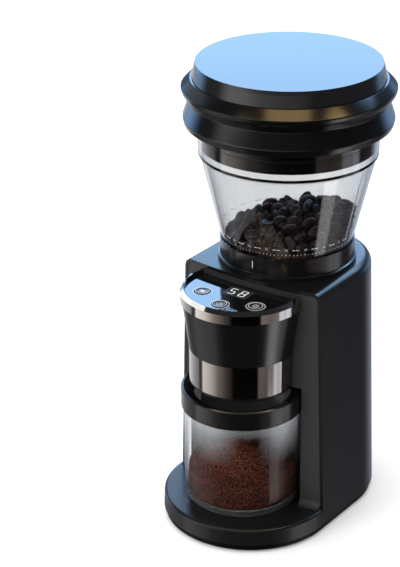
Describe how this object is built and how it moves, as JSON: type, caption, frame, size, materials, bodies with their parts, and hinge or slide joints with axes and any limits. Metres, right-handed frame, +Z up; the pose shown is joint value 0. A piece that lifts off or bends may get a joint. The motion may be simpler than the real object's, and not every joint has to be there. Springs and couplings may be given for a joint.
{
  "type": "burr coffee grinder",
  "caption": "Upright burr coffee grinder: tall black housing with a round clear hopper under a bellows lid, a control pod with keys, and a glass grounds jar below.",
  "frame": {"origin": "on the floor under the middle of the part's box", "axes": "+Z up, -Y is the front with the jar and keys, +X is the right hand of someone who stands behind it"},
  "size_m": [0.1556, 0.1913, 0.345],
  "materials": {
    "satin_black": "satin moulded black",
    "dark_grey": "fine satin",
    "gloss_black": "gloss",
    "bright_trim": "bright dark chrome",
    "polished_steel": "polished",
    "black_rubber": "soft satin",
    "clear_plastic": "clear",
    "clear_glass": "clear",
    "burr_steel": "ground",
    "screw_steel": "plated",
    "brass": "turned",
    "pale_nylon": "moulded",
    "motor_steel": "zinc plated",
    "magnet": "ceramic dark grey",
    "green_board": "lacquered"
  },
  "bodies": {
    "housing": {"main_housing": "satin_black", "front_panel": "dark_grey", "base_plate": "satin_black", "rubber_feet": "black_rubber", "base_screws": "screw_steel", "hopper_collar": "satin_black", "collar_screws": "screw_steel", "burr_housing": "satin_black", "gearbox_cover": "satin_black", "gearbox_base": "satin_black", "gearbox_screws": "screw_steel", "shaft_bearing": "burr_steel", "shaft_bushing": "brass", "idler_pin": "burr_steel", "motor_can": "motor_steel", "motor_magnets": "magnet", "motor_screws": "screw_steel", "grounds_chute": "satin_black", "pod_shell": "satin_black", "pod_screws": "screw_steel", "pod_floor": "satin_black", "steel_band": "polished_steel", "trim_ring": "bright_trim", "control_panel": "gloss_black", "display_lens": "gloss_black", "display_module": "satin_black", "control_board": "green_board", "board_screws": "screw_steel", "tact_switches": "satin_black", "power_board": "green_board", "cord_gland": "satin_black"},
    "adjuster": {"adjust_ring": "satin_black"},
    "burr_carrier": {"burr_carrier": "satin_black", "ring_burr": "burr_steel"},
    "hopper": {"hopper": "clear_plastic"},
    "lid": {"lid_ring": "satin_black", "lid_seal": "black_rubber", "bellows": "black_rubber"},
    "lid_cap": {"lid_cap": "satin_black"},
    "jar": {"jar_glass": "clear_glass"},
    "jar_lid": {"jar_ring": "satin_black"},
    "burr": {"cone_burr": "burr_steel", "burr_nut": "burr_steel", "burr_shaft": "burr_steel", "grounds_sweeper": "pale_nylon", "output_gear": "pale_nylon"},
    "idler": {"idler_gear": "pale_nylon"},
    "motor": {"motor_rotor": "motor_steel", "motor_pinion": "brass"},
    "key_left": {"key_left": "gloss_black"},
    "key_middle": {"key_middle": "gloss_black"},
    "key_right": {"key_right": "gloss_black"}
  },
  "joints": [
    {"name": "grind_adjust", "type": "hinge", "parent": "housing", "child": "adjuster", "pos_m": [0, 0.0178, 0.1943], "axis": [0, 0, 1], "range_deg": [-153, 153]},
    {"name": "carrier_travel", "type": "slide", "parent": "adjuster", "child": "burr_carrier", "axis": [0, 0, 1], "range_m": [-0.00051, 0.00051]},
    {"name": "hopper_lift", "type": "slide", "parent": "adjuster", "child": "hopper", "axis": [0, 0, 1], "range_m": [0, 0.05]},
    {"name": "lid_lift", "type": "slide", "parent": "hopper", "child": "lid", "axis": [0, 0, 1], "range_m": [0, 0.06]},
    {"name": "lid_press", "type": "slide", "parent": "lid", "child": "lid_cap", "axis": [0, 0, -1], "range_m": [0, 0.016], "stiffness_N_per_m": 400, "springref_m": -0.006, "deforming": ["bellows"]},
    {"name": "jar_slide", "type": "slide", "parent": "housing", "child": "jar", "axis": [0, -1, 0], "range_m": [0, 0.1]},
    {"name": "jar_lid_turn", "type": "hinge", "parent": "jar", "child": "jar_lid", "pos_m": [0, -0.0407, 0.0959], "axis": [0, 0, 1], "range_deg": [0, 40]},
    {"name": "burr_spin", "type": "hinge", "parent": "housing", "child": "burr", "pos_m": [0, 0.0178, 0.152], "axis": [0, 0, 1], "continuous": true},
    {"name": "idler_spin", "type": "hinge", "parent": "housing", "child": "idler", "pos_m": [0.02425, 0.0318, 0.126], "axis": [0, 0, 1], "continuous": true},
    {"name": "motor_spin", "type": "hinge", "parent": "housing", "child": "motor", "pos_m": [0, 0.0458, 0.06], "axis": [0, 0, 1], "continuous": true},
    {"name": "key_left_press", "type": "slide", "parent": "housing", "child": "key_left", "axis": [0, 0, -1], "range_m": [0, 0.0008], "stiffness_N_per_m": 1200, "springref_m": -0.0003},
    {"name": "key_middle_press", "type": "slide", "parent": "housing", "child": "key_middle", "axis": [0, 0, -1], "range_m": [0, 0.0008], "stiffness_N_per_m": 1200, "springref_m": -0.0003},
    {"name": "key_right_press", "type": "slide", "parent": "housing", "child": "key_right", "axis": [0, 0, -1], "range_m": [0, 0.0008], "stiffness_N_per_m": 1200, "springref_m": -0.0003}
  ],
  "couplings": [
    {"joint": "carrier_travel", "follows": "grind_adjust", "m_per_rad": 0.000191},
    {"joint": "idler_spin", "follows": "burr_spin", "ratio": -3},
    {"joint": "motor_spin", "follows": "burr_spin", "ratio": 11}
  ]
}
